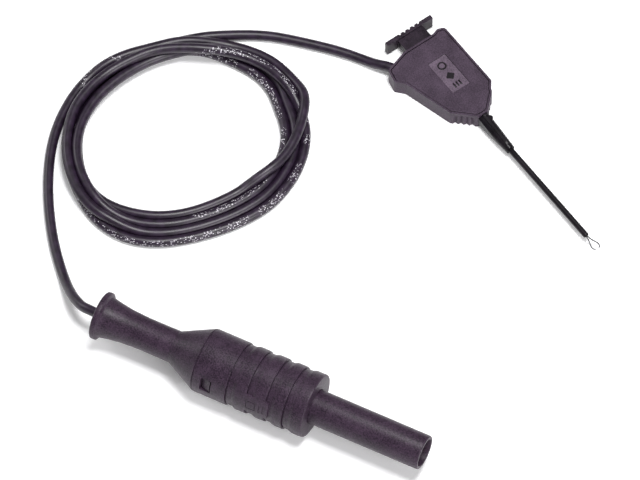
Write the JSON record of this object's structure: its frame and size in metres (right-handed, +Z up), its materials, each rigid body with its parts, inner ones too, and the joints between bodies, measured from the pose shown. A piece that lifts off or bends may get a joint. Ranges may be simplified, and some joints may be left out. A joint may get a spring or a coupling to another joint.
{
  "type": "clip-on test lead",
  "caption": "Clip-on test lead: slim wire-hook grabber clip with a thumb bar, thin coiled cable, and a sheathed banana plug with a ribbed grip and bell-mouthed bend relief",
  "frame": {"origin": "middle of the clip's footprint, on the plane that the clip, the cable and the plug all lie on", "axes": "+X runs along the clip from the thumb bar to the wire jaws, +Y is the clip's left side seen from above, +Z is up out of the clip's front plate"},
  "size_m": [0.1267, 0.1113, 0.0147],
  "materials": {
    "charcoal_plastic": "fine moulded grain",
    "black_plastic": "satin moulded",
    "gloss_black_plastic": "smooth glossy",
    "cable_jacket": "satin extruded with a pale print",
    "core_plastic": "moulded",
    "bright_steel": "drawn wire",
    "spring_steel": "drawn spring wire",
    "brass": "turned",
    "copper": "fine stranded",
    "solder": "smooth fillet"
  },
  "bodies": {
    "base": {"clip_housing": "charcoal_plastic", "clip_cover": "charcoal_plastic", "return_spring": "spring_steel", "nozzle": "gloss_black_plastic", "stem_tube": "gloss_black_plastic", "contact_plate": "brass", "solder_joint": "solder", "clip_conductor": "copper", "cable_clamp": "core_plastic", "cord_tail_clip": "cable_jacket", "cord_coil": "cable_jacket", "cord_tail_plug": "cable_jacket", "plug_rear_cap": "charcoal_plastic", "plug_grip": "charcoal_plastic", "sheath_spring": "spring_steel", "banana_pin": "brass", "lamella_spring": "brass", "pin_carrier": "core_plastic", "pin_retainer": "spring_steel", "cable_crimp": "brass", "plug_conductor": "copper"},
    "button": {"thumb_button": "black_plastic", "contact_rod": "brass", "wire_ferrule": "brass", "wire_left": "bright_steel", "wire_right": "bright_steel"},
    "jaw_left_body": {"jaw_left": "bright_steel"},
    "jaw_right_body": {"jaw_right": "bright_steel"},
    "sheath": {"plug_sheath": "charcoal_plastic"}
  },
  "joints": [
    {"name": "button_slide", "type": "slide", "parent": "base", "child": "button", "axis": [1, 0, 0], "range_m": [0, 0.0026], "stiffness_N_per_m": 120, "springref_m": -0.004, "deforming": ["return_spring"]},
    {"name": "jaw_left_hinge", "type": "hinge", "parent": "button", "child": "jaw_left_body", "pos_m": [0.03095, 0.00188, 0.0021], "axis": [0, 0, -1], "range_deg": [0, 9]},
    {"name": "jaw_right_hinge", "type": "hinge", "parent": "button", "child": "jaw_right_body", "pos_m": [0.03095, 0.00222, 0.0021], "axis": [0, 0, 1], "range_deg": [0, 9]},
    {"name": "sheath_slide", "type": "slide", "parent": "base", "child": "sheath", "axis": [-0.891, -0.454, 0], "range_m": [0, 0.019], "stiffness_N_per_m": 200, "springref_m": -0.006, "deforming": ["sheath_spring"]}
  ],
  "couplings": [
    {"joint": "jaw_left_hinge", "follows": "button_slide", "rad_per_m": 60},
    {"joint": "jaw_right_hinge", "follows": "button_slide", "rad_per_m": 60}
  ]
}
